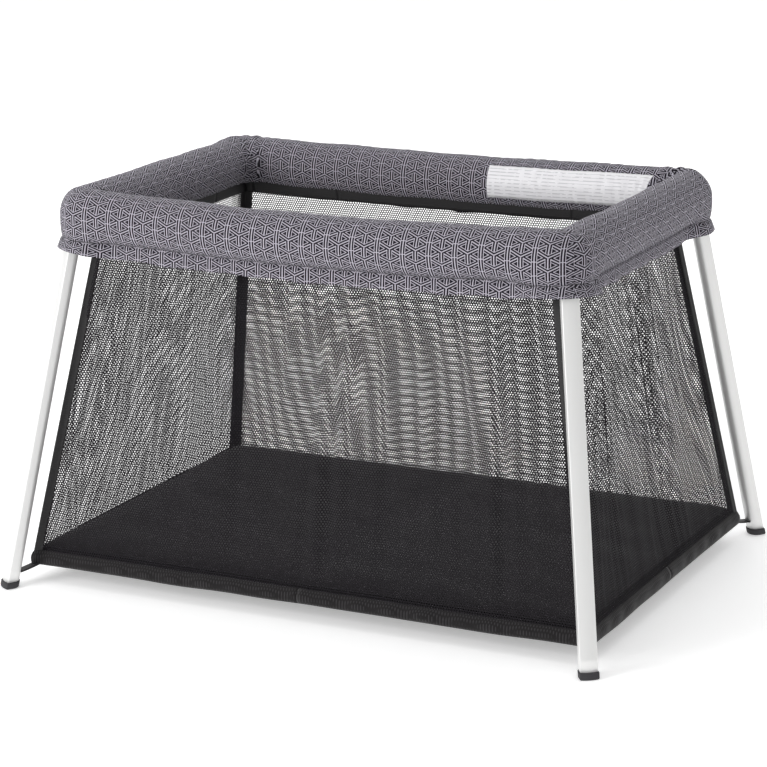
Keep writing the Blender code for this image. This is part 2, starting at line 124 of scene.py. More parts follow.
def add(tree, kind, inputs=None, **settings):
    """Adds one shader node with its settings; an input is a value or a socket to link."""
    made = tree.nodes.new("ShaderNode" + kind)
    for name, value in settings.items():
        setattr(made, name, value)
    for key, value in (inputs or {}).items():
        if isinstance(value, bpy.types.NodeSocket):
            tree.links.new(value, made.inputs[key])
        else:
            made.inputs[key].default_value = value
    return made


def maths(tree, operation, *values):
    """Output of one Math node."""
    return add(tree, "Math", dict(enumerate(values)), operation=operation).outputs[0]


def new_finish(name):
    """An empty material's node tree, kept under its name."""
    material = bpy.data.materials.new(name)
    material.use_nodes = True
    material.node_tree.nodes.clear()
    FINISHES[name] = material
    return material.node_tree


def finish_surface(tree, inputs):
    """Joins a Principled shader with these inputs to the output."""
    shader = add(tree, "BsdfPrincipled", inputs)
    add(tree, "OutputMaterial", {"Surface": shader.outputs[0]})
    return shader


def surface(name, points, wrap=(False, False), uv=None, ends=False, flip=False, normals=None):
    """Mesh of a grid of points, one quad between each four neighbours.

    points is (rows, columns, 3). wrap joins the last row or column to the first,
    ends closes the first and last row with one face each, uv is a grid with one
    more row or column where that way wraps, flip turns the faces over.
    """
    rows, columns = points.shape[:2]
    r, c = np.meshgrid(
        np.arange(rows - (not wrap[0])), np.arange(columns - (not wrap[1])), indexing="ij"
    )
    r = r.ravel()[:, None] + np.array([0, 0, 1, 1])
    c = c.ravel()[:, None] + np.array([0, 1, 1, 0])
    if flip:
        r, c = r[:, ::-1], c[:, ::-1]
    faces = ((r % rows) * columns + c % columns).tolist()
    if ends:
        first = np.arange(columns)
        last = (rows - 1) * columns + first
        faces += [(first if flip else first[::-1]).tolist(), (last[::-1] if flip else last).tolist()]
    mesh = bpy.data.meshes.new(name)
    mesh.from_pydata(points.reshape(-1, 3).tolist(), [], faces)
    if uv is not None:
        layer = mesh.uv_layers.new(name="cloth")
        values = np.zeros((len(mesh.loops), 2))
        values[:r.size] = uv[r, c].reshape(-1, 2)
        layer.data.foreach_set("uv", values.ravel())
    mesh.polygons.foreach_set("use_smooth", np.ones(len(mesh.polygons), bool))
    if ends:
        mesh.polygons.foreach_set(
            "use_smooth", np.arange(len(mesh.polygons)) < len(mesh.polygons) - 2
        )
    if normals is not None:
        mesh.normals_split_custom_set_from_vertices(normals.reshape(-1, 3).tolist())
    mesh.update()
    piece = bpy.data.objects.new(name, mesh)
    bpy.context.scene.collection.objects.link(piece)
    return piece


def dress(piece, finish):
    """Gives a piece its one finish."""
    piece.data.materials.clear()
    piece.data.materials.append(FINISHES[finish])
    return piece


def turned(points, degrees):
    """Points of a side frame turned round the Z axis into the row frame."""
    angle = math.radians(degrees)
    x = points[..., 0] * math.cos(angle) - points[..., 1] * math.sin(angle)
    y = points[..., 0] * math.sin(angle) + points[..., 1] * math.cos(angle)
    return np.stack([x, y, points[..., 2]], -1)


def side_sizes(name):
    """Half length of a side's rail and its distance from the middle of the yard."""
    if name in ("front", "rear"):
        return RAIL_HALF_LENGTH, RAIL_HALF_WIDTH
    return RAIL_HALF_WIDTH, RAIL_HALF_LENGTH


def smoothstep(value):
    """Cubic step from 0 to 1 over the range 0 to 1."""
    t = np.clip(value, 0, 1)
    return t * t * (3 - 2 * t)


def ripple(along, around, seed, cycles, turns, count=28):
    """Sum of cosine waves of random phase; whole cycles keep it closed both ways.

    along and around run from 0 to 1, cycles and turns give the lowest and highest
    whole number of waves in each direction, and the result is about -1 to 1.
    """
    source = np.random.default_rng(seed)
    total = np.zeros(np.broadcast(along, around).shape)
    for _ in range(count):
        a = source.integers(cycles[0], cycles[1] + 1)
        b = source.integers(turns[0], turns[1] + 1)
        total = total + np.cos(2 * math.pi * (a * along + b * around + source.random()))
    return total / math.sqrt(count)


def grid_normals(points, wrap_columns):
    """Unit normals of a grid: cross product of its differences along rows and columns."""
    down = np.gradient(points, axis=0)
    if wrap_columns:
        across = np.roll(points, -1, 1) - np.roll(points, 1, 1)
    else:
        across = np.gradient(points, axis=1)
    normal = np.cross(across, down)
    return normal / np.maximum(np.linalg.norm(normal, axis=-1, keepdims=True), 1e-12)


# ---------------------------------------------------------------- padded rail cover


def cover_section(sizes):
    """Loop of the cover's section as out, up, flap share and outward direction.

    It climbs the outside of the flap, goes once round the roll's ellipse from the
    crease back to the crease, and comes down the flap's inside.
    """
    flap = np.linspace(1, 0, 7)
    crease = math.radians(sizes.crease_angle)
    turn = np.linspace(crease + 0.05, crease + 2 * math.pi - 0.05, 46)
    out = np.concatenate([np.zeros(7), sizes.roll_out * np.cos(turn), np.zeros(7)])
    up = np.concatenate([np.zeros(7), sizes.roll_up * np.sin(turn), np.zeros(7)])
    share = np.concatenate([flap, np.zeros(46), flap[::-1]])
    side = np.concatenate([np.ones(7), np.zeros(46), -np.ones(7)])
    facing = np.stack([
        np.concatenate([np.ones(7), np.cos(turn), -np.ones(7)]),
        np.concatenate([np.zeros(7), np.sin(turn), np.zeros(7)]),
    ])
    return out, up, share, side, facing


def cover_grid(side_index, sizes):
    """One side's whole cover as grid points in the side frame, with its UV in metres.

    Straight stations run along the rail and two eighth turns lead to the corners'
    middles. A point that stands d out of the rail line follows the offset of a
    rounded rectangle: its corner radius is the path's radius plus d.
    """
    name = SIDES[side_index][0]
    half, distance = side_sizes(name)
    radius = sizes.corner_radius
    steady = half - 0.09
    straight = np.concatenate([
        np.linspace(-(half - radius), -steady, 16, endpoint=False),
        np.linspace(-steady, steady, int(round(2 * steady / 0.0045)) | 1),
        np.linspace(steady, half - radius, 17)[1:],
    ])
    bend = np.linspace(0, math.pi / 4, 11)[1:]
    x0 = np.concatenate([-np.full(10, half - radius), straight, np.full(10, half - radius)])
    delta = np.concatenate([bend[::-1], np.zeros(len(straight)), bend])
    sign = np.where(x0 < 0, -1.0, 1.0)
    run = np.where(delta > 0, sign * (half - radius + radius * delta / (math.pi / 4)), x0)

    out, up, share, flap_side, facing = cover_section(sizes)
    to_corner = half - np.abs(run)
    near = smoothstep(1 - to_corner / 0.10)[:, None]
    cover_leg = smoothstep((0.085 - to_corner) / 0.055)[:, None]
    offsets = (0.0, 2 * RAIL_HALF_LENGTH, 2 * (RAIL_HALF_LENGTH + RAIL_HALF_WIDTH),
               4 * RAIL_HALF_LENGTH + 2 * RAIL_HALF_WIDTH)
    girth = 4 * (RAIL_HALF_LENGTH + RAIL_HALF_WIDTH)
    along = ((offsets[side_index] + run + half) / girth)[:, None]
    around = (np.arange(len(out)) / len(out))[None, :]

    on_roll = (share == 0)[None, :]
    lumps = ripple(along, around, 3, (6, 26), (0, 3))
    folds = ripple(along, around, 7, (60, 150), (-3, 3))
    creases = ripple(along, around, 11, (150, 260), (-2, 2))
    inner = (0.5 - 0.5 * facing[0])[None, :]
    swell = lumps * sizes.lump_height
    swell = swell + folds * sizes.wrinkle_height * (0.45 + 1.3 * near * (0.4 + inner))
    swell = swell + creases * 0.35 * sizes.wrinkle_height * near * inner
    pinch = np.exp(-(to_corner / 0.006) ** 2)[:, None] * 0.0008
    swell = np.where(on_roll, swell - pinch, 0)

    crease = math.radians(sizes.crease_angle)
    fuller = 1 - 0.85 * cover_leg
    outer_low = (share == 0) & (out > 0) & (up < 0)
    out = np.where(
        outer_low[None, :], sizes.roll_out * np.maximum(out / sizes.roll_out, 1e-6)[None, :] ** fuller,
        np.broadcast_to(out, (len(run), len(out))),
    )
    crease_out = sizes.roll_out * math.cos(crease) ** fuller + 0.002 * cover_leg
    crease_up = sizes.roll_up * math.sin(crease)
    drop = sizes.flap_depth + 0.0016 * ripple(along, 0 * around, 17, (10, 40), (0, 0), 16)
    drop = drop - near * 0.007
    sway = ripple(along, 0 * around, 19, (14, 70), (0, 0), 20)
    flap_out = crease_out + share * (0.0015 + 0.0016 * sway * (1 - near) + cover_leg * sizes.corner_flare)
    flap_out = flap_out + flap_side * sizes.flap_thickness / 2
    flap_up = crease_up - share * drop
    spread = np.where(share > 0, flap_out, out + facing[0] * swell)
    height = np.where(share > 0, flap_up, up + facing[1] * swell)
    sag = {"front": sizes.front_sag, "rear": sizes.rear_sag}.get(name, sizes.short_sag)
    bow = np.clip(1 - (run / half) ** 2, 0, 1) ** 1.2
    height = height - (sag * bow)[:, None]

    r = np.maximum(radius + spread, sizes.inner_radius)
    reach = half + spread - r
    ease = np.clip((np.abs(x0) - steady) / (half - radius - steady), 0, 1)[:, None]
    x = sign[:, None] * np.where(
        ease > 0, steady + ease * (reach - steady), np.abs(x0)[:, None]
    )
    turn = delta[:, None]
    u = x + sign[:, None] * r * turn
    x = x + sign[:, None] * r * np.sin(turn)
    y = distance + spread - r + r * np.cos(turn)
    points = np.stack([x, -y, RAIL_HEIGHT + height], -1)
    middle = len(run) // 2
    step = np.hypot(np.diff(spread[middle]), np.diff(height[middle]))
    v = np.concatenate([[0], np.cumsum(step), [step.sum() + 0.002]])
    u = np.concatenate([u, u[:, :1]], 1)
    uv = np.stack([u, np.broadcast_to(v, u.shape)], -1)
    return points, uv, run


def cover_piece(name, points, uv, normals, rows, degrees, nodes):
    """Cuts rows out of a side's cover grid and closes them as one padded piece."""
    piece = surface(
        name, turned(points[rows], degrees), wrap=(False, True), uv=uv[rows], ends=True,
        normals=turned(normals[rows], degrees),
    )
    dress(piece, "woven_cover")
    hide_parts(*nodes)
    return piece


def rounded_end(points, distance, pivot_x, sign):
    """Rows of a rounded end about a pivot: the section shrinks as the cosine of a turn."""
    base = points[0 if sign < 0 else -1]
    angles = np.linspace(0.12, 1.35, 8)
    centre = np.array([pivot_x, -distance, RAIL_HEIGHT - 0.004])
    rows = []
    for angle in angles:
        scaled = centre + (base - centre) * math.cos(angle) * 0.95
        scaled[:, 0] = pivot_x + sign * 0.014 * math.sin(angle)
        rows.append(scaled)
    return np.array(rows)


def build_cover(sizes):
    """All pieces of the padded cover: the ends and middles stay fixed where they are built, and at the
    open corner a sleeve and an end hang from one body each.
    """
    for index, (name, degrees, halves, corners) in enumerate(SIDES):
        half, distance = side_sizes(name)
        points, uv, run = cover_grid(index, sizes)
        normals = grid_normals(points, True)
        cut = COVER_CUT * half
        for sign, rail, corner in ((-1, halves[0], corners[0]), (1, halves[1], corners[1])):
            node = "rail_pad_" + rail
            if (rail, corner) == OPEN_PIVOT:
                build_open_corner(points, uv, normals, run, degrees, half, distance, cut)
                continue
            rows = np.flatnonzero(sign * run >= cut - 1e-9)
            rows = np.append(rows[0] - 1, rows) if sign > 0 else np.append(rows, rows[-1] + 1)
            piece = cover_piece("cover_" + rail + "_end", points, uv, normals, rows, degrees, [node])
            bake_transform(piece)
        rows = np.flatnonzero(np.abs(run) < cut - 1e-9)
        nodes = ["rail_pad_" + halves[0], "rail_pad_" + halves[1]]
        piece = cover_piece("cover_" + name + "_middle", points, uv, normals, rows, degrees, nodes)
        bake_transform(piece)


def build_open_corner(points, uv, normals, run, degrees, half, distance, cut):
    """The corner without a joint: a sleeve on the bracket over a rounded end on the rail."""
    pivot = half - PIVOT_SETBACK
    sleeve_from = np.flatnonzero(run >= pivot - 0.004)
    sleeve = cover_piece(
        "cover_rear_left_corner", points, uv, normals, sleeve_from, degrees, ["rail_pad_rear_left"]
    )
    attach(sleeve, "corner_rear_left")
    rows = np.flatnonzero((run >= cut - 1e-9) & (run <= pivot + 0.001))
    rows = np.append(rows[0] - 1, rows)
    dome = rounded_end(points[rows], distance, pivot, 1)
    whole = np.concatenate([points[rows], dome])
    dome_uv = np.repeat(uv[rows][-1:], len(dome), 0)
    dome_uv[..., 0] += (np.arange(1, len(dome) + 1) * 0.006)[:, None]
    whole_uv = np.concatenate([uv[rows], dome_uv])
    whole_normals = grid_normals(whole, True)
    whole_normals[:3] = normals[rows][:3]
    piece = cover_piece(
        "cover_rear_left_end", whole, whole_uv, whole_normals, np.arange(len(whole)), degrees,
        ["rail_pad_rear_left"],
    )
    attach(piece, "rail_rear_left")


# ---------------------------------------------------------------- tub


def tub_line(name, height):
    """Half length and distance of a tub wall at a height: straight from its foot to its top."""
    low, high = FRONT_WALL[0].z, FRONT_WALL[1].z
    share = (height - low) / (high - low)
    half_y = -(FRONT_WALL[0].y + (FRONT_WALL[1].y - FRONT_WALL[0].y) * share) - 0.0012 * (1 - 2 * share)
    half_x = -(LEFT_WALL[0].x + (LEFT_WALL[1].x - LEFT_WALL[0].x) * share) - 0.0012 * (1 - 2 * share)
    if name in ("front", "rear"):
        return half_x, half_y
    return half_y, half_x


def wall_points(name, sign, rows, columns, heights, sizes, swell=1.0, proud=0.0):
    """Half a wall as a grid: along from its corner to its middle, down between two heights.

    It leans between the tub's top and bottom lines, bows a little inwards between its
    edges and carries shallow upright pleats that die out at every edge.
    """
    along = np.linspace(0, 1, columns)[None, :]
    down = np.linspace(0, 1, rows)[:, None]
    z = heights[0] + (heights[1] - heights[0]) * down
    half, distance = tub_line(name, z)
    x = sign * half * (1 - along)
    seed = 31 + 7 * ("front", "right", "rear", "left").index(name)
    across = sign * (1 - along)
    pleats = ripple(across / 4 + 0.5, 0.25 * down, seed, (12, 60), (-1, 1), 26)
    broad = ripple(across / 4 + 0.5, 0.5 * down, seed + 3, (2, 10), (0, 2), 12)
    span = (z - FRONT_WALL[0].z) / (FRONT_WALL[1].z - FRONT_WALL[0].z)
    hold = np.clip(4 * span * (1 - span), 0, 1) ** 0.5 * smoothstep(np.abs(1 - np.abs(across)) / 0.08)
    hold = hold * swell
    bow = sizes.wall_bow * np.clip(4 * span * (1 - span), 0, 1) * (1 - across ** 2)
    inward = hold * (sizes.pleat_depth * pleats + 1.9 * sizes.pleat_depth * broad) + bow * swell
    y = -distance + inward - proud
    z = np.broadcast_to(z, x.shape)
    return np.stack([x, np.broadcast_to(y, x.shape), z], -1)


def leg_direction(corner):
    """Unit direction down a leg, out and away from the yard by its splay."""
    axis = Vector(JOINTS["leg_swing_" + corner]["axis"])
    sign_x, sign_y = CORNER_SIGNS[corner]
    outward = Vector((sign_x * abs(axis.y), sign_y * abs(axis.x), 0)).normalized()
    return outward * math.sin(LEG_SPLAY) - Vector((0, 0, math.cos(LEG_SPLAY))), outward


def gather(piece, name, corner):
    """Lets a piece of the tub ride on its leg: it gets a mesh of its own and hangs from the leg's body."""
    down = leg_direction(corner)[0]
    sign_x, sign_y = CORNER_SIGNS[corner]
    is_long = name in ("front", "rear")
    axis = Vector((-sign_x, 0, 0)) if is_long else Vector((0, -sign_y, 0))
    axis = (axis - down * axis.dot(down)).normalized()
    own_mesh(piece)
    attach(piece, "leg_" + corner)


def strip_section(points, thickness, degrees, name):
    """Closes a flat grid strip into a thin band: it is copied inwards and its edges are joined."""
    inner = points + np.array([0, thickness, 0])
    loop = np.concatenate([points, inner[::-1]], 0)
    return surface(name, turned(np.swapaxes(loop, 0, 1), degrees), wrap=(False, True), ends=True)


def build_walls(sizes):
    """Eight half walls of netting, each one sheet hung from the rail and held by its leg."""
    for name, degrees, halves, corners in SIDES:
        for sign, corner, rail in ((-1, corners[0], halves[0]), (1, corners[1], halves[1])):
            half = tub_line(name, FRONT_WALL[0].z)[0]
            columns = int(half / 0.006)
            points = wall_points(name, sign, 84, columns, NETTING_HEIGHTS, sizes)
            drop = np.linspace(0, NETTING_DROP, 84)
            uv = np.stack(np.broadcast_arrays(points[..., 0], drop[:, None]), -1)
            piece = surface(
                "netting_" + name + "_" + corner, turned(points, degrees), uv=uv, flip=sign > 0
            )
            dress(piece, "knitted_netting")
            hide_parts("mesh_wall_" + name)
            gather(piece, name, corner)
            hem = build_hem(name, degrees, sign, corner, sizes)


def build_hem(name, degrees, sign, corner, sizes):
    """Hem along half a wall's bottom: a thin closed band with a rounded, uneven face."""
    rows = 7
    points = wall_points(name, sign, rows, 60, HEM_HEIGHTS, sizes, 0.0, 0.0012)
    roll = np.sin(np.linspace(0, math.pi, rows))[:, None]
    along = points[..., 0] / 4 + 0.5
    points[..., 1] -= (0.0036 + 0.0012 * ripple(along, 0 * along, 83, (20, 90), (0, 0), 14)) * roll
    points[..., 2] += 0.0008 * ripple(along, 0 * along, 89, (6, 30), (0, 0), 10)
    piece = strip_section(points, 0.0040, degrees, "hem_" + name + "_" + corner)
    fix_outside(piece)
    dress(piece, "dotted_mat_cloth")
    gather(piece, name, corner)
    return piece


def build_bindings(sizes):
    """Black binding under the rails: a thin closed band that sags with each rail's cover."""
    for name, degrees, halves, corners in SIDES:
        half, distance = side_sizes(name)
        reach, _ = tub_line(name, 0.577)
        cut = COVER_CUT * half
        pivot = half - PIVOT_SETBACK
        spans = []
        for sign, rail, corner in ((-1, halves[0], corners[0]), (1, halves[1], corners[1])):
            pair = ("corner_" + corner, "rail_" + rail)
            if (rail, corner) == OPEN_PIVOT:
                spans.append((rail + "_end", cut, pivot, (pair[1],)))
                spans.append((rail + "_corner", pivot, reach, (pair[0],)))
            else:
                spans.append((rail + "_end", sign * cut, sign * reach,
                              (*pair, *(sign * (half - place) for place in CORNER_BLEND))))
        middle = ("rail_" + halves[0], "rail_" + halves[1], -MIDDLE_BLEND, MIDDLE_BLEND)
        spans.append((name + "_middle", -cut, cut, middle))
        for label, first, last, how in spans:
            x = np.linspace(min(first, last), max(first, last), max(int(abs(last - first) / 0.006), 4))
            z = np.linspace(*BINDING_HEIGHTS, 6)[:, None]
            line = tub_line(name, z)[1] + 0.0004
            points = np.stack(np.broadcast_arrays(x[None, :], -line, z), -1)
            sag = {"front": sizes.front_sag, "rear": sizes.rear_sag}.get(name, sizes.short_sag)
            points[..., 2] -= 0.7 * sag * np.clip(1 - (x / half) ** 2, 0, 1)[None, :]
            piece = strip_section(points, 0.0022, degrees, "binding_" + label)
            fix_outside(piece)
            dress(piece, "ribbed_webbing")
            if len(how) == 1:
                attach(piece, how[0])
            else:
                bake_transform(piece)


def fix_outside(piece):
    """Turns every face of a closed piece outwards."""
    work = bmesh.new()
    work.from_mesh(piece.data)
    bmesh.ops.recalc_face_normals(work, faces=work.faces)
    work.to_mesh(piece.data)
    work.free()


def build_corner_webbing(sizes):
    """Webbing up each corner of the tub: a bent strip carried from the hem to the rail."""
    arm = sizes.webbing_width
    thick = sizes.webbing_thickness
    for corner, (sign_x, sign_y) in CORNER_SIGNS.items():
        heights = np.linspace(0.584, 0.034, 40)
        half_x, half_y = tub_line("front", heights)
        arms = np.linspace(0, 1, 6)
        outer = [(-arm * (1 - a), 0.0) for a in arms] + [(0.0, -arm * a) for a in arms[1:]]
        outer = np.array(outer) + thick * 0.6
        inner = outer[::-1] - thick
        loop = np.concatenate([outer, inner])
        x = sign_x * (half_x[:, None] + loop[None, :, 0])
        y = sign_y * (half_y[:, None] + loop[None, :, 1])
        z = np.broadcast_to(heights[:, None], x.shape)
        piece = surface("webbing_" + corner, np.stack([x, y, z], -1), wrap=(False, True), ends=True)
        fix_outside(piece)
        dress(piece, "ribbed_webbing")
        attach(piece, "leg_" + corner)


def build_straps(sizes):
    """Short straps from the tub's bottom corners to the feet, each a sagging flat band."""
    for corner, (sign_x, sign_y) in CORNER_SIGNS.items():
        down, outward = leg_direction(corner)
        across = Vector((-outward.y, outward.x, 0))
        half_x, half_y = tub_line("front", 0.036)
        start = Vector((sign_x * (half_x - 0.014), sign_y * (half_y - 0.014), 0.036))
        pivot = Vector(JOINTS["leg_swing_" + corner]["pos_m"])
        foot = pivot + down * ((LEG_PIVOT_HEIGHT - 0.026) / math.cos(LEG_SPLAY)) - outward * 0.011
        share = np.linspace(0, 1, 14)
        line = np.array(start)[None] * (1 - share[:, None]) + np.array(foot)[None] * share[:, None]
        line[:, 2] -= 0.0012 * np.sin(math.pi * share)
        width = np.linspace(-1, 1, 5) * 0.0095
        top = line[:, None] + np.array(across)[None, None] * width[None, :, None]
        bottom = top[:, ::-1] - np.array([0, 0, sizes.webbing_thickness])
        piece = surface("strap_" + corner, np.concatenate([top, bottom], 1), wrap=(False, True), ends=True)
        fix_outside(piece)
        dress(piece, "ribbed_webbing")
        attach(piece, "leg_" + corner)


# ---------------------------------------------------------------- floor


def mat_shell():
    """Half of the mat as a closed form: two grids that meet in a seam at their border.

    The thickness falls from the middle to the border as one minus a high power of the
    distance, so the faces are flat and the edges are round.
    """
    low, high = LEFT_MAT
    width = (low.x + 0.0145, -0.0001)
    depth = (low.y + 0.0145, high.y - 0.0145)
    columns, rows = int((width[1] - width[0]) / 0.008), int((depth[1] - depth[0]) / 0.008)
    u = np.linspace(-1, 1, columns)[None, :]
    v = np.linspace(-1, 1, rows)[:, None]
    x = (width[0] + width[1]) / 2 + (width[1] - width[0]) / 2 * np.broadcast_to(u, (rows, columns))
    y = (depth[0] + depth[1]) / 2 + (depth[1] - depth[0]) / 2 * np.broadcast_to(v, (rows, columns))
    crown = ((1 - np.clip(-u, 0, 1) ** 14) * (1 - np.abs(v) ** 18)) ** 0.5
    middle = (high.z + MAT_UNDERSIDE) / 2
    thick = (high.z - MAT_UNDERSIDE) / 2 - 0.0012
    top = np.stack([x, y, middle + thick * crown], -1)
    bottom = np.stack([x, y, middle - thick * crown], -1)
    inside = (crown > 1e-9).ravel()
    number = np.arange(rows * columns)
    under = np.where(inside, rows * columns + np.cumsum(inside) - 1, number)
    r, c = np.meshgrid(np.arange(rows - 1), np.arange(columns - 1), indexing="ij")
    quads = np.stack([r * columns + c, r * columns + c + 1, (r + 1) * columns + c + 1,
                      (r + 1) * columns + c], -1).reshape(-1, 4)
    edge = number.reshape(rows, columns)[:, -1]
    end = np.stack([edge[:-1], under[edge[:-1]], under[edge[1:]], edge[1:]], -1)
    faces = np.concatenate([quads, under[quads][:, ::-1], end]).tolist()
    faces = [list(dict.fromkeys(face)) for face in faces]
    vertices = np.concatenate([top.reshape(-1, 3), bottom.reshape(-1, 3)[inside]])
    mesh = bpy.data.meshes.new("mat_left")
    mesh.from_pydata(vertices.tolist(), [], faces)
    mesh.polygons.foreach_set("use_smooth", np.ones(len(mesh.polygons), bool))
    mesh.update()
    piece = bpy.data.objects.new("mat_left", mesh)
    bpy.context.scene.collection.objects.link(piece)
    return piece


def coordinates(piece):
    """The piece's points as an array."""
    values = np.zeros(len(piece.data.vertices) * 3)
    piece.data.vertices.foreach_get("co", values)
    return values.reshape(-1, 3)


def inflate(piece, pressure, cap, shrink, seam_width):
    """Blows a closed cloth up for twenty frames, then limits how far each point has moved.

    Points near the seam at x = 0 are held, so the two halves still meet flush.
    """
    start = coordinates(piece)
    cloth = piece.modifiers.new("cloth", "CLOTH")
    cloth.settings.use_pressure = True
    cloth.settings.uniform_pressure_force = pressure
    cloth.settings.shrink_min = shrink
    cloth.settings.quality = 4
    cloth.settings.mass = 0.15
    cloth.settings.tension_stiffness = 12
    cloth.settings.compression_stiffness = 12
    cloth.settings.bending_stiffness = 0.4
    cloth.settings.effector_weights.gravity = 0
    cloth.collision_settings.use_collision = False
    cloth.point_cache.frame_start = 1
    cloth.point_cache.frame_end = 20
    scene = bpy.context.scene
    for step in range(1, 21):
        scene.frame_set(step)
    shaped = piece.evaluated_get(bpy.context.evaluated_depsgraph_get())
    result = np.zeros(len(shaped.data.vertices) * 3)
    shaped.data.vertices.foreach_get("co", result)
    piece.modifiers.clear()
    scene.frame_set(1)
    move = result.reshape(-1, 3) - start
    length = np.maximum(np.linalg.norm(move, axis=1, keepdims=True), 1e-12)
    move *= np.tanh(length / cap) * cap / length
    move *= smoothstep(np.abs(start[:, :1]) / seam_width)
    piece.data.vertices.foreach_set("co", (start + move).ravel())
    piece.data.update()


def build_mat():
    """Two padded halves of the mat that meet flush; the second is the first one mirrored."""
    left = mat_shell()
    inflate(left, 4.0, 0.004, -0.02, 0.05)
    points = coordinates(left)
    low, high = LEFT_MAT
    faces = [list(face.vertices)[::-1] for face in left.data.polygons]
    mesh = bpy.data.meshes.new("mat_right")
    mesh.from_pydata((points * np.array([-1, 1, 1])).tolist(), [], faces)
    mesh.polygons.foreach_set("use_smooth", np.ones(len(mesh.polygons), bool))
    right = bpy.data.objects.new("mat_right", mesh)
    bpy.context.scene.collection.objects.link(right)
    for piece in (left, right):
        points = coordinates(piece)
        relief = ripple((points[:, 0] + 0.6) / 1.2, (points[:, 1] + 0.6) / 1.2, 53, (1, 12), (1, 12), 24)
        border = np.minimum(np.abs(low.x) - np.abs(points[:, 0]), high.y - np.abs(points[:, 1]))
        top = points[:, 2] > (high.z + MAT_UNDERSIDE) / 2
        points[:, 2] += np.where(top, 0.0016 * relief * smoothstep((border - 0.014) / 0.05), 0)
        inner = 0.0001 * np.sign(points[:, 0].mean())
        points[:, 0] = np.maximum(points[:, 0], inner) if inner > 0 else np.minimum(points[:, 0], inner)
        piece.data.vertices.foreach_set("co", points.ravel())
        piece.data.update()
        piece.data.set_sharp_from_angle(angle=math.radians(50))
    for piece, side in ((left, "left"), (right, "right")):
        dress(piece, "dotted_mat_cloth")
        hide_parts("floor_mat_" + side)
        fold_floor(piece, side)


def fold_floor(piece, side):
    """Lets a piece of the floor lift with its half: it gets a mesh of its own and hangs from the half's
    body.
    """
    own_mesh(piece)
    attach(piece, "floor_" + side)


def build_base():
    """The tub's cloth floor under the mat, in two halves: thin slabs that sag a little."""
    low, high = LEFT_MAT
    for side, sign in (("left", -1), ("right", 1)):
        x = np.linspace(low.x + 0.003, -0.0001, 64)[None, :]
        y = np.linspace(low.y + 0.003, high.y - 0.003, 90)[:, None]
        sag = 0.0016 * ripple((x + 0.6) / 1.2, (y + 0.6) / 1.2, 61, (2, 9), (2, 9), 16)
        upper = np.stack(np.broadcast_arrays(x, y, 0.0400 + 0.4 * sag), -1)
        lower = np.stack(np.broadcast_arrays(x, y, 0.0345 + sag), -1)
        loop = np.concatenate([upper, lower[:, ::-1]], 1)
        loop = loop * np.array([-sign, 1, 1])
        piece = surface("base_cloth_" + side, loop, wrap=(False, True), ends=True)
        fix_outside(piece)
        dress(piece, "dotted_mat_cloth")
        fold_floor(piece, side)


# ---------------------------------------------------------------- legs


def leg_section(grow=0.0):
    """Closed section of a leg as across and out: crowned face, crisp edges, flat sides, round back."""
    half, depth, edge = 0.0142 + grow, 0.0125 + grow, 0.0018
    face = depth - 0.0018
    across = np.linspace(-1, 1, 13)
    crown = np.stack([across * (half - edge), face + 0.0018 * (1 - across ** 2)])
    turn = np.linspace(0, math.pi / 2, 6)[1:]
    right = np.stack([half - edge + edge * np.sin(turn), face - edge + edge * np.cos(turn)])
    flat = np.stack([np.full(3, half), np.linspace(face - edge, 0.0007, 4)[1:]])
    around = np.linspace(0, math.pi, 25)[1:-1]
    back = np.stack([half * np.cos(around), 0.0007 - (depth + 0.0007) * np.sin(around) ** 0.9])
    loop = [crown, right, flat, back, flat[:, ::-1] * [[-1], [1]], right[:, ::-1] * [[-1], [1]]]
    return np.concatenate(loop, 1)


def leg_rings(corner, sections, heights):
    """Rings of a section carried down a leg, each cut level at its height."""
    down, outward = leg_direction(corner)
    across = np.array((-outward.y, outward.x, 0))
    face = np.array(outward) * math.cos(LEG_SPLAY) + np.array((0, 0, math.sin(LEG_SPLAY)))
    pivot = np.array(JOINTS["leg_swing_" + corner]["pos_m"])
    rings = []
    for section, height in zip(sections, heights):
        flat = pivot + across * section[0][:, None] + face * section[1][:, None]
        rings.append(flat + np.array(down) * ((flat[:, 2:3] - height) / math.cos(LEG_SPLAY)))
    return np.array(rings)


def build_legs():
    """Aluminium legs and their rubber caps, both swept from the same section."""
    for corner in CORNER_SIGNS:
        heights = np.concatenate([[0.5915, 0.591], np.linspace(0.590, 0.006, 24)])
        sections = [leg_section(-0.0006), leg_section(-0.0001)] + [leg_section()] * 24
        rings = leg_rings(corner, sections, heights)
        leg = surface("leg_tube_" + corner, rings, wrap=(False, True), ends=True)
        fix_outside(leg)
        dress(leg, "anodised_leg")
        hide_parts("leg_" + corner)
        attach(leg, "leg_" + corner)
        outer = [leg_section(g) for g in (0.0000, 0.0008, 0.0014, 0.0014, 0.0014, 0.0010, 0.0002)]
        levels = [0.0000, 0.0006, 0.0018, 0.0060, 0.0104, 0.0112, 0.0115]
        rings = leg_rings(corner, outer, levels)
        cap = surface("rubber_foot_" + corner, rings, wrap=(False, True), ends=True)
        fix_outside(cap)
        dress(cap, "moulded_rubber")
        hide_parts("foot_cap_" + corner)
        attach(cap, "leg_" + corner)


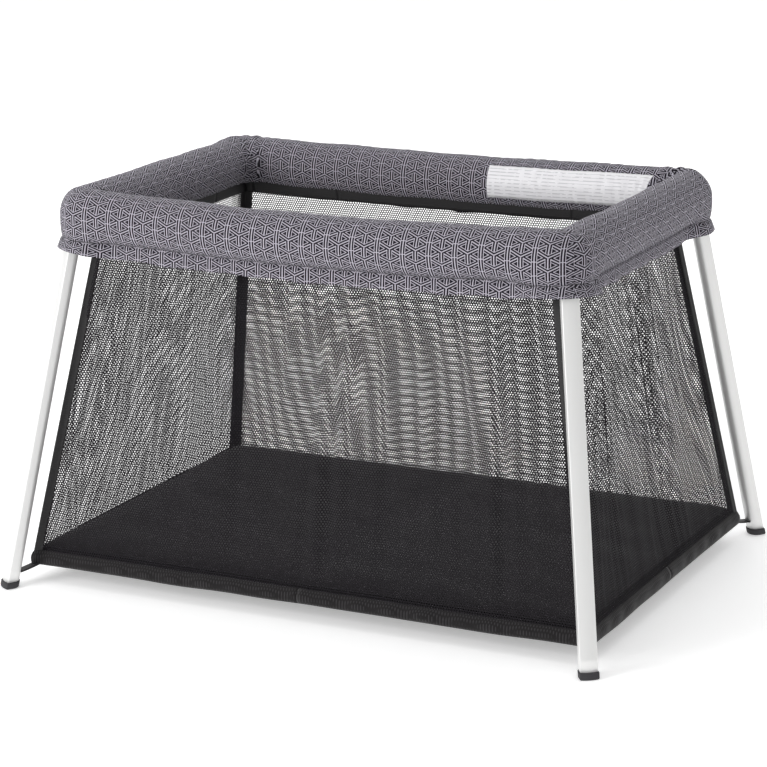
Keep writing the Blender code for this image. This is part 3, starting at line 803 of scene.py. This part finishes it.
def build_labels(sizes):
    """A care label round the inside of the rear rail and a narrow sticker on one leg.

    The label is the cover's own grid inside two lines, lifted along its normals; the
    sticker is a flat grid on the leg's flat side.
    """
    points, uv, run = cover_grid(2, sizes)
    normals = grid_normals(points, True)
    rows = np.flatnonzero((run > LABEL_RUN[0]) & (run < LABEL_RUN[1]))
    turn = np.degrees(np.linspace(0, 2 * math.pi, 46)) + sizes.crease_angle
    columns = 7 + np.flatnonzero((turn > LABEL_TURN[0]) & (turn < LABEL_TURN[1]))
    face = points[rows][:, columns] + 0.0007 * normals[rows][:, columns]
    back = points[rows][:, columns] - 0.0004 * normals[rows][:, columns]
    loop = np.concatenate([face, back[:, ::-1]], 1)
    marks = uv[rows][:, columns]
    marks = marks - marks.min((0, 1))
    marks = np.concatenate([marks, marks[:, ::-1], marks[:, :1]], 1)
    label = surface("care_label", turned(loop, 180), wrap=(False, True), uv=marks, ends=True)
    fix_outside(label)
    dress(label, "satin_label")
    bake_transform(label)
    corner = "rear_right"
    down, outward = leg_direction(corner)
    across = np.array((-outward.y, outward.x, 0))
    face_out = np.array(outward) * math.cos(LEG_SPLAY) + np.array((0, 0, math.sin(LEG_SPLAY)))
    pivot = np.array(JOINTS["leg_swing_" + corner]["pos_m"])
    length = np.linspace(*STICKER_RUN, 24)[:, None, None]
    width = np.linspace(0.0012, 0.0098, 5)[None, :, None]
    side = 1
    spot = pivot + np.array(down) * length + face_out * width + across * side * 0.0145
    loop = np.concatenate([spot, spot[:, ::-1] - across * side * 0.0006], 1)
    marks = np.stack(np.broadcast_arrays(length[..., 0] - STICKER_RUN[0], width[..., 0]), -1)
    marks = np.concatenate([marks, marks[:, ::-1], marks[:, :1]], 1)
    sticker = surface("leg_sticker", loop, wrap=(False, True), uv=marks, ends=True)
    fix_outside(sticker)
    dress(sticker, "satin_label")
    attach(sticker, "leg_" + corner)


# ---------------------------------------------------------------- finishes


def make_cover_finish(sizes, colours):
    """Jacquard-woven polyester: small nested triangles in two yarns, matt with a soft fuzz."""
    tree = new_finish("woven_cover")
    uv = add(tree, "UVMap", uv_map="cloth").outputs[0]
    scaled = add(tree, "VectorMath", {0: uv, 1: (sizes.pattern_spacing / sizes.pattern_column, 1, 1)},
                 operation="MULTIPLY").outputs[0]
    slub = add(tree, "TexNoise", {"Vector": uv, "Scale": 1 / 0.0024, "Detail": 3.0, "Roughness": 0.6})
    axes = add(tree, "SeparateXYZ", {0: scaled})
    pitch, edge = sizes.pattern_spacing, sizes.pattern_spacing / math.cos(math.radians(30))

    column = maths(tree, "PINGPONG", axes.outputs[0], pitch / 2)
    odd = maths(tree, "GREATER_THAN", maths(tree, "PINGPONG", axes.outputs[0], pitch), pitch / 2)
    shifted = maths(tree, "MULTIPLY_ADD", odd, edge / 2, axes.outputs[1])
    wrapped = maths(tree, "WRAP", maths(tree, "ADD", shifted, edge / 2), edge, 0.0)
    rise = maths(tree, "SUBTRACT", wrapped, edge / 2)
    steep = maths(tree, "MULTIPLY", rise, math.cos(math.radians(30)))
    upper = maths(tree, "MULTIPLY_ADD", column, -0.5, steep)
    lower = maths(tree, "MULTIPLY_ADD", column, 0.5, steep)
    diagonal = maths(tree, "MINIMUM", maths(tree, "ABSOLUTE", upper), maths(tree, "ABSOLUTE", lower))
    on_bar = maths(tree, "LESS_THAN", column, 0.0042)

    def choose(mask, otherwise, value):
        return add(tree, "Mix", {0: mask, 2: otherwise, 3: value}, data_type="FLOAT").outputs[0]

    def both(*masks):
        result = masks[0]
        for mask in masks[1:]:
            result = maths(tree, "MULTIPLY", result, mask)
        return result

    def between(value, low, high):
        return both(maths(tree, "GREATER_THAN", value, low), maths(tree, "LESS_THAN", value, high))

    nearest = choose(on_bar, diagonal, column)
    arm = both(odd, on_bar, between(upper, -0.0011, 0.0040))
    nearest = choose(arm, nearest, maths(tree, "ABSOLUTE", upper))
    join = both(odd, on_bar, between(upper, -0.0031, -0.0011), maths(tree, "GREATER_THAN", column, 0.0028))
    nearest = choose(join, nearest, 0.0020)
    even = maths(tree, "SUBTRACT", 1.0, odd)
    cut = both(even, on_bar, between(rise, 0.0032, 0.0044))
    nearest = choose(cut, nearest, 0.0)
    rough = maths(tree, "MULTIPLY_ADD", slub.outputs[0], 0.0008, -0.0004)
    nearest = maths(tree, "ADD", nearest, rough)
    ramp = add(tree, "ValToRGB", {0: maths(tree, "MULTIPLY", nearest, 1 / 0.0065)})
    stops = ((0.0008, 0, 1), (0.0032, 1, 0), (0.0042, 0, 1))
    while len(ramp.color_ramp.elements) > 1:
        ramp.color_ramp.elements.remove(ramp.color_ramp.elements[-1])
    ramp.color_ramp.elements[0].position = 0.0
    ramp.color_ramp.elements[0].color = (0, 0, 0, 1)
    for place, before, after in stops:
        for shift, tone in ((-0.00025, before), (0.00025, after)):
            stop = ramp.color_ramp.elements.new((place + shift) / 0.0065)
            stop.color = (tone, tone, tone, 1)
    light, dark = colours.light_yarn[:] + (1,), colours.dark_yarn[:] + (1,)
    yarns = add(tree, "Mix", {0: ramp.outputs[0], 6: light, 7: dark}, data_type="RGBA")
    tint = add(tree, "MapRange", {0: slub.outputs[0], 1: 0.25, 2: 0.75, 3: 0.78, 4: 1.22})
    hue = add(tree, "HueSaturation", {"Value": tint.outputs[0], "Color": yarns.outputs[2]})
    weave = add(tree, "VectorMath", {0: uv, 1: (1 / 0.0014, 1 / 0.0014, 1)},
                operation="MULTIPLY").outputs[0]
    threads = add(tree, "TexChecker", {"Vector": weave, "Scale": 1.0})
    relief = maths(tree, "ADD", threads.outputs[1], slub.outputs[0])
    bump = add(tree, "Bump", {"Strength": 0.35, "Distance": 0.0004, "Height": relief})
    finish_surface(tree, {
        "Base Color": hue.outputs[0], "Roughness": 0.92, "Normal": bump.outputs[0],
        "Sheen Weight": 0.08, "Sheen Roughness": 0.5, "Specular IOR Level": 0.2,
    })


def spot_distance(tree, place, half_x, half_y):
    """Distance to the nearest of staggered spots: corners and middles of a grid of rectangles."""
    axes = add(tree, "SeparateXYZ", {0: place})
    px = maths(tree, "PINGPONG", axes.outputs[0], half_x)
    py = maths(tree, "PINGPONG", axes.outputs[1], half_y)
    near = add(tree, "CombineXYZ", {0: px, 1: py}).outputs[0]
    first = add(tree, "VectorMath", {0: near}, operation="LENGTH").outputs["Value"]
    second = add(tree, "VectorMath", {0: near, 1: (half_x, half_y, 0)}, operation="DISTANCE")
    return maths(tree, "MINIMUM", first, second.outputs["Value"])


def make_netting_finish(sizes, colours):
    """Warp-knitted polyester netting: round holes in staggered rows between black yarns."""
    tree = new_finish("knitted_netting")
    uv = add(tree, "UVMap", uv_map="cloth").outputs[0]
    pitch = sizes.netting_pitch
    hole = spot_distance(tree, uv, pitch / 2, pitch * math.sqrt(3) / 2)
    edge = pitch * sizes.hole_share
    cover = add(tree, "MapRange", {0: hole, 1: edge - 0.00012, 2: edge + 0.00012, 3: 0.0, 4: 1.0})
    fuzz = add(tree, "TexNoise", {"Vector": uv, "Scale": 1 / 0.006, "Detail": 2.0})
    tone = add(tree, "Mix", {0: fuzz.outputs[0], 6: colours.netting[:] + (1,), 7: linear("#1f1c21")},
               data_type="RGBA")
    finish_surface(tree, {
        "Base Color": tone.outputs[2], "Roughness": 0.8, "Alpha": cover.outputs[0],
        "Specular IOR Level": 0.2,
    })


def make_webbing_finish(colours):
    """Woven nylon webbing: fine ribs across the strap, black with a dull shine."""
    tree = new_finish("ribbed_webbing")
    place = add(tree, "TexCoord").outputs["Object"]
    grain = add(tree, "TexNoise", {"Vector": place, "Scale": 1 / 0.0022, "Detail": 2.0})
    ribs = add(tree, "TexWave", {"Vector": place, "Scale": 1 / 0.0125, "Distortion": 0.6},
               bands_direction="Z")
    relief = maths(tree, "ADD", grain.outputs[0], ribs.outputs[1])
    tone = add(tree, "Mix", {0: grain.outputs[0], 6: colours.webbing[:] + (1,), 7: linear("#232123")},
               data_type="RGBA")
    bump = add(tree, "Bump", {"Strength": 0.4, "Distance": 0.0005, "Height": relief})
    finish_surface(tree, {"Base Color": tone.outputs[2], "Roughness": 0.62, "Normal": bump.outputs[0]})


def make_mat_finish(sizes, colours):
    """Brushed polyester mat cloth with tiny pressed dots in staggered rows: near black, very matt."""
    tree = new_finish("dotted_mat_cloth")
    place = add(tree, "TexCoord").outputs["Object"]
    pitch = sizes.dot_pitch
    dot = spot_distance(tree, place, pitch / 2, pitch / 2)
    pressed = add(tree, "MapRange", {0: dot, 1: pitch * 0.14, 2: pitch * 0.24, 3: 0.0, 4: 1.0})
    nap = add(tree, "TexNoise", {"Vector": place, "Scale": 1 / 0.004, "Detail": 4.0})
    tone = add(tree, "Mix", {0: pressed.outputs[0], 6: linear("#363436"), 7: colours.mat[:] + (1,)},
               data_type="RGBA")
    relief = maths(tree, "ADD", nap.outputs[0], pressed.outputs[0])
    bump = add(tree, "Bump", {"Strength": 0.4, "Distance": 0.0004, "Height": relief})
    finish_surface(tree, {
        "Base Color": tone.outputs[2], "Roughness": 0.95, "Normal": bump.outputs[0],
        "Sheen Weight": 0.15, "Specular IOR Level": 0.2,
    })


def make_label_finish():
    """Printed satin tape: white with soft grey bars of uneven length in even rows."""
    tree = new_finish("satin_label")
    uv = add(tree, "UVMap", uv_map="cloth").outputs[0]
    axes = add(tree, "SeparateXYZ", {0: uv})
    row = maths(tree, "PINGPONG", axes.outputs[1], 0.0031)
    bar = add(tree, "MapRange", {0: row, 1: 0.0008, 2: 0.0012, 3: 1.0, 4: 0.0})
    line = maths(tree, "SNAP", axes.outputs[1], 0.0062)
    place = add(tree, "CombineXYZ", {0: axes.outputs[0], 1: line}).outputs[0]
    runs = add(tree, "TexNoise", {"Vector": place, "Scale": 1 / 0.011, "Detail": 1.0})
    broken = add(tree, "MapRange", {0: runs.outputs[0], 1: 0.44, 2: 0.48, 3: 0.0, 4: 1.0})
    ink = maths(tree, "MULTIPLY", bar.outputs[0], broken.outputs[0])
    ink = maths(tree, "MULTIPLY", ink, 0.4)
    tone = add(tree, "Mix", {0: ink, 6: linear("#f4f3f6"), 7: linear("#8d8b92")}, data_type="RGBA")
    weave = add(tree, "TexNoise", {"Vector": uv, "Scale": 1 / 0.0012, "Detail": 2.0})
    bump = add(tree, "Bump", {"Strength": 0.15, "Distance": 0.0002, "Height": weave.outputs[0]})
    finish_surface(tree, {"Base Color": tone.outputs[2], "Roughness": 0.45, "Normal": bump.outputs[0]})


def make_metal_finish(name, colour, roughness, grain_length, strength, metallic=1.0):
    """Drawn metal: fine lines along the bar that stretch the highlight, over an even tone."""
    tree = new_finish(name)
    place = add(tree, "TexCoord").outputs["Object"]
    drawn = add(tree, "VectorMath", {0: place, 1: (1 / 0.0007, 1 / 0.0007, 1 / grain_length)},
                operation="MULTIPLY").outputs[0]
    lines = add(tree, "TexNoise", {"Vector": drawn, "Scale": 1.0, "Detail": 3.0})
    gloss = add(tree, "MapRange",
                {0: lines.outputs[0], 1: 0.3, 2: 0.7, 3: roughness - 0.04, 4: roughness + 0.06})
    bump = add(tree, "Bump", {"Strength": strength, "Distance": 0.0001, "Height": lines.outputs[0]})
    finish_surface(tree, {
        "Base Color": linear(colour), "Metallic": metallic, "Roughness": gloss.outputs[0],
        "Normal": bump.outputs[0],
    })


def make_plastic_finish(name, colour, worn, roughness, grit):
    """Moulded plastic or rubber: an even spark-eroded grit and faintly polished high spots."""
    tree = new_finish(name)
    place = add(tree, "TexCoord").outputs["Object"]
    grain = add(tree, "TexNoise", {"Vector": place, "Scale": 1 / grit, "Detail": 4.0})
    wear = add(tree, "TexNoise", {"Vector": place, "Scale": 1 / 0.018, "Detail": 2.0})
    tone = add(tree, "Mix", {0: wear.outputs[0], 6: linear(colour), 7: linear(worn)}, data_type="RGBA")
    gloss = add(tree, "MapRange",
                {0: grain.outputs[0], 1: 0.3, 2: 0.7, 3: roughness - 0.06, 4: roughness + 0.06})
    bump = add(tree, "Bump", {"Strength": 0.25, "Distance": 0.0002, "Height": grain.outputs[0]})
    finish_surface(tree, {
        "Base Color": tone.outputs[2], "Roughness": gloss.outputs[0], "Normal": bump.outputs[0],
    })


def make_stage_finish():
    """Seamless studio paper, lit from behind a little: matt white."""
    tree = new_finish("studio_paper")
    place = add(tree, "TexCoord").outputs["Object"]
    fibres = add(tree, "TexNoise", {"Vector": place, "Scale": 40.0, "Detail": 2.0})
    tone = add(tree, "Mix", {0: fibres.outputs[0], 6: linear("#fbfbfb"), 7: linear("#ffffff")},
               data_type="RGBA")
    finish_surface(tree, {
        "Base Color": tone.outputs[2], "Roughness": 1.0, "Specular IOR Level": 0.0,
        "Emission Color": linear("#ffffff"), "Emission Strength": 0.35,
    })


# ---------------------------------------------------------------- stage


def build_stage():
    """White floor that curves up into a backdrop, soft lights and the camera."""
    turn = np.linspace(0, math.pi / 2, 16)
    y = np.concatenate([[-12.0, -3.0, 6.5], 6.5 + 2.5 * np.sin(turn[1:]), [9.0]])
    z = np.concatenate([[0.0, 0.0, 0.0], 2.5 - 2.5 * np.cos(turn[1:]), [9.0]])
    x = np.linspace(-14, 14, 9)[:, None]
    points = np.stack(np.broadcast_arrays(x, y[None, :], z[None, :]), -1)
    paper = surface("studio_paper", turned(points - [0, 0, 0.0005], 25), flip=False)
    dress(paper, "studio_paper")
    world = bpy.data.worlds.new("studio")
    world.use_nodes = True
    world.node_tree.nodes["Background"].inputs[0].default_value = (1, 1, 1, 1)
    world.node_tree.nodes["Background"].inputs[1].default_value = 0.54
    bpy.context.scene.world = world
    for name, place, power, size in (
        ("key", (-2.4, -4.0, 2.1), 110, 2.0),
        ("top", (0.0, 0.2, 3.6), 20, 2.6),
        ("back", (-1.2, 3.4, 2.6), 25, 2.5),
    ):
        light = bpy.data.lights.new(name, "AREA")
        light.energy = power
        light.size = size
        lamp = bpy.data.objects.new(name, light)
        lamp.location = place
        lamp.rotation_euler = (Vector((0, 0, 0.35)) - Vector(place)).to_track_quat("-Z", "Y").to_euler()
        bpy.context.scene.collection.objects.link(lamp)
    # The camera stands in front and to the right, about 4.8 m away, and looks a little down.
    camera = bpy.data.objects.new("camera", bpy.data.cameras.new("camera"))
    camera.data.lens = 131.62
    camera.data.clip_end = 50
    camera.data.shift_x = -0.0063
    camera.data.shift_y = 0.0192
    camera.location = (2.0004, -4.1245, 1.5132)
    aim = Euler((math.radians(90) - 0.2616, 0, 0.4525)).to_matrix() @ Euler((0, 0, -0.0093)).to_matrix()
    camera.rotation_euler = aim.to_euler()
    bpy.context.scene.collection.objects.link(camera)
    bpy.context.scene.camera = camera
    bpy.context.scene.view_settings.view_transform = "Standard"


# ---------------------------------------------------------------- add-on


def length(name, description, default):
    """A length property, in metres."""
    return bpy.props.FloatProperty(name=name, description=description, default=default, unit="LENGTH")


def shade(name, description, hex_colour):
    """A colour property, from an sRGB hex colour."""
    return bpy.props.FloatVectorProperty(
        name=name, description=description, subtype="COLOR", default=linear(hex_colour)[:3])


class PlayYardSizes(bpy.types.PropertyGroup):
    """Sizes of the soft goods."""

    roll_out: length("Roll half width", "Half the padded roll's width", 0.0405)
    roll_up: length("Roll half height", "Half the padded roll's height", 0.0435)
    crease_angle: bpy.props.FloatProperty(
        name="Crease angle", description="Where the flap leaves the roll, in degrees below level",
        default=-62.0)
    corner_radius: length("Corner radius", "Radius of the rail line at a corner", 0.026)
    inner_radius: length("Inner corner radius", "Smallest radius on the inside of a corner", 0.016)
    flap_depth: length("Flap depth", "How far the flap hangs below the crease", 0.024)
    flap_thickness: length("Flap thickness", "Thickness of the doubled cloth of the flap", 0.0022)
    corner_flare: length("Corner flare", "How far the flap stands out over the leg tops", 0.005)
    lump_height: length("Lump height", "Height of the soft lumps of the roll", 0.0008)
    wrinkle_height: length("Wrinkle height", "Height of the fine wrinkles across the roll", 0.0006)
    front_sag: length("Front sag", "Drop of the front rail's cover at its middle", 0.010)
    rear_sag: length("Rear sag", "Drop of the rear rail's cover at its middle", 0.005)
    short_sag: length("Short side sag", "Drop of a short rail's cover at its middle", 0.002)
    pattern_spacing: length("Pattern spacing", "Distance between the pattern's lines", 0.0187)
    pattern_column: length("Pattern column", "Width of a column of triangles along the rail", 0.022)
    netting_pitch: length("Netting pitch", "Distance between neighbouring holes", 0.0045)
    hole_share: bpy.props.FloatProperty(
        name="Hole share", description="Radius of a hole as a share of the pitch",
        default=0.331)
    wall_bow: length("Wall bow", "How far a wall bows inwards at its middle", 0.006)
    pleat_depth: length("Pleat depth", "Depth of the netting's upright pleats", 0.0026)
    webbing_width: length("Webbing arm", "Width of the corner webbing on each wall", 0.015)
    webbing_thickness: length("Webbing thickness", "Thickness of the webbing", 0.0016)
    dot_pitch: length("Dot pitch", "Distance between the dots of the mat cloth", 0.0052)


class PlayYardColours(bpy.types.PropertyGroup):
    """Colours of the cloths."""

    light_yarn: shade("Light yarn", "Light yarn of the cover", "#b8b4bf")
    dark_yarn: shade("Dark yarn", "Dark yarn of the cover", "#18141d")
    netting: shade("Netting", "Yarn of the netting", "#151216")
    webbing: shade("Webbing", "Webbing, bindings and hem", "#141314")
    mat: shade("Mat", "Cloth of the mat", "#1d1b1c")


class PLAYYARD_OT_finishes(bpy.types.Operator):
    """Make the finishes of every piece"""

    bl_idname = "playyard.finishes"
    bl_label = "Finishes"

    def execute(self, context):
        sizes, colours = context.scene.playyard_sizes, context.scene.playyard_colours
        make_cover_finish(sizes, colours)
        make_netting_finish(sizes, colours)
        make_webbing_finish(colours)
        make_mat_finish(sizes, colours)
        make_label_finish()
        make_metal_finish("anodised_leg", "#f0f0ef", 0.38, 0.08, 0.10, 0.45)
        make_metal_finish("drawn_tube", "#c9cacb", 0.36, 0.05, 0.15)
        make_metal_finish("turned_steel", "#a9aaac", 0.28, 0.004, 0.10)
        make_plastic_finish("moulded_rubber", "#2d2c2e", "#3b3a3d", 0.72, 0.0008)
        make_plastic_finish("moulded_nylon", "#232225", "#2f2e32", 0.48, 0.0006)
        make_plastic_finish("grey_button_plastic", "#8b8b90", "#97979c", 0.42, 0.0006)
        make_stage_finish()
        return {"FINISHED"}


class PLAYYARD_OT_cover(bpy.types.Operator):
    """Build the padded cover of the top rail"""

    bl_idname = "playyard.cover"
    bl_label = "Rail cover"

    def execute(self, context):
        build_cover(context.scene.playyard_sizes)
        return {"FINISHED"}


class PLAYYARD_OT_tub(bpy.types.Operator):
    """Build the netting walls with their bindings, webbing and straps"""

    bl_idname = "playyard.tub"
    bl_label = "Netting tub"

    def execute(self, context):
        sizes = context.scene.playyard_sizes
        build_walls(sizes)
        build_bindings(sizes)
        build_corner_webbing(sizes)
        build_straps(sizes)
        return {"FINISHED"}


class PLAYYARD_OT_floor(bpy.types.Operator):
    """Build the padded mat and the cloth floor under it"""

    bl_idname = "playyard.floor"
    bl_label = "Mat and floor"

    def execute(self, context):
        build_mat()
        build_base()
        return {"FINISHED"}


class PLAYYARD_OT_legs(bpy.types.Operator):
    """Build the legs and their rubber feet"""

    bl_idname = "playyard.legs"
    bl_label = "Legs and feet"

    def execute(self, context):
        build_legs()
        return {"FINISHED"}


class PLAYYARD_OT_labels(bpy.types.Operator):
    """Build the care label and the leg's sticker"""

    bl_idname = "playyard.labels"
    bl_label = "Labels"

    def execute(self, context):
        build_labels(context.scene.playyard_sizes)
        return {"FINISHED"}


class PLAYYARD_OT_fittings(bpy.types.Operator):
    """Finish the brackets, tubes, hinges, pins and buttons of the frame"""

    bl_idname = "playyard.fittings"
    bl_label = "Fittings"

    def execute(self, context):
        for name, node in frame["nodes"].items():
            for start, finish in (
                ("corner_bracket", "moulded_nylon"), ("hinge_fork", "moulded_nylon"),
                ("hinge_tongue", "moulded_nylon"), ("rail_tube", "drawn_tube"),
                ("hinge_pin", "turned_steel"), ("rail_pin", "turned_steel"),
                ("leg_pin", "turned_steel"), ("release_button", "grey_button_plastic"),
                ("leg_", "anodised_leg"), ("foot_cap", "moulded_rubber"),
                ("rail_pad", "woven_cover"), ("mesh_wall", "knitted_netting"),
                ("floor_mat", "dotted_mat_cloth"),
            ):
                if name.startswith(start):
                    node.material_slots[0].material = FINISHES[finish]
                    break
        return {"FINISHED"}


class PLAYYARD_OT_stage(bpy.types.Operator):
    """Set up the white studio, its lights and the camera"""

    bl_idname = "playyard.stage"
    bl_label = "Stage"

    def execute(self, context):
        build_stage()
        return {"FINISHED"}


OPERATORS = (
    PLAYYARD_OT_finishes,
    PLAYYARD_OT_cover,
    PLAYYARD_OT_tub,
    PLAYYARD_OT_floor,
    PLAYYARD_OT_legs,
    PLAYYARD_OT_labels,
    PLAYYARD_OT_fittings,
    PLAYYARD_OT_stage,
)


class PLAYYARD_PT_panel(bpy.types.Panel):
    """Sidebar panel with one button for each group of pieces"""

    bl_idname = "PLAYYARD_PT_panel"
    bl_label = "Play Yard"
    bl_space_type = "VIEW_3D"
    bl_region_type = "UI"
    bl_category = "Play Yard"

    def draw(self, context):
        for operator in OPERATORS:
            self.layout.operator(operator.bl_idname)


CLASSES = (PlayYardSizes, PlayYardColours, *OPERATORS, PLAYYARD_PT_panel)


def register():
    """Registers the classes and hangs the settings on the scene."""
    for item in CLASSES:
        bpy.utils.register_class(item)
    bpy.types.Scene.playyard_sizes = bpy.props.PointerProperty(type=PlayYardSizes)
    bpy.types.Scene.playyard_colours = bpy.props.PointerProperty(type=PlayYardColours)


def unregister():
    """Removes the settings and the classes."""
    del bpy.types.Scene.playyard_colours
    del bpy.types.Scene.playyard_sizes
    for item in reversed(CLASSES):
        bpy.utils.unregister_class(item)


def main():
    """Builds everything in order."""
    register()
    bpy.ops.playyard.finishes()
    bpy.ops.playyard.cover()
    bpy.ops.playyard.tub()
    bpy.ops.playyard.floor()
    bpy.ops.playyard.legs()
    bpy.ops.playyard.labels()
    bpy.ops.playyard.fittings()
    bpy.ops.playyard.stage()


if __name__ == "__main__":
    main()
